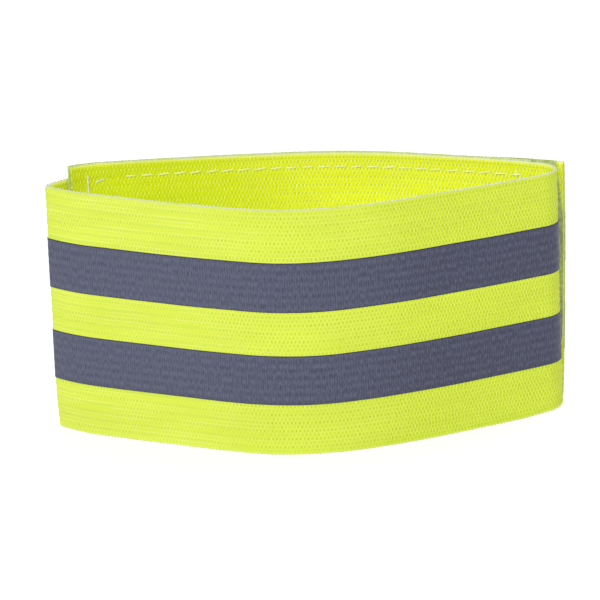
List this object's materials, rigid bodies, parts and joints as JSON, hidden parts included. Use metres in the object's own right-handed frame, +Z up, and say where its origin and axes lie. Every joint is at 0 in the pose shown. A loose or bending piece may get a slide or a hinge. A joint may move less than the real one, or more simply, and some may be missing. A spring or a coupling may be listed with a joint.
{
  "type": "reflective armband",
  "caption": "Elastic armband with reflective stripes along it, closed in a flattened loop by hook-and-loop patches at the back.",
  "frame": {"origin": "under the middle of the closed armband, on the surface that it stands on", "axes": "+Z up along the band's height and the arm's way through, +X along the long way of the flattened loop, -Y to the plain front, +Y to the closure"},
  "size_m": [0.1544, 0.06, 0.0795],
  "materials": {
    "elastic": "fluorescent yellow ribbed knitted elastic, matt with a soft sheen",
    "reflective_film": "dark silver-grey reflective film, satin, with the knit showing through",
    "loop_pile": "soft sage-green loop pile",
    "hook_tape": "olive-green hook tape, rough"
  },
  "bodies": {
    "root": {"elastic_band": "elastic", "reflective_stripe_lower": "reflective_film", "reflective_stripe_upper": "reflective_film", "loop_patch": "loop_pile", "hook_patch": "hook_tape"}
  },
  "joints": []
}
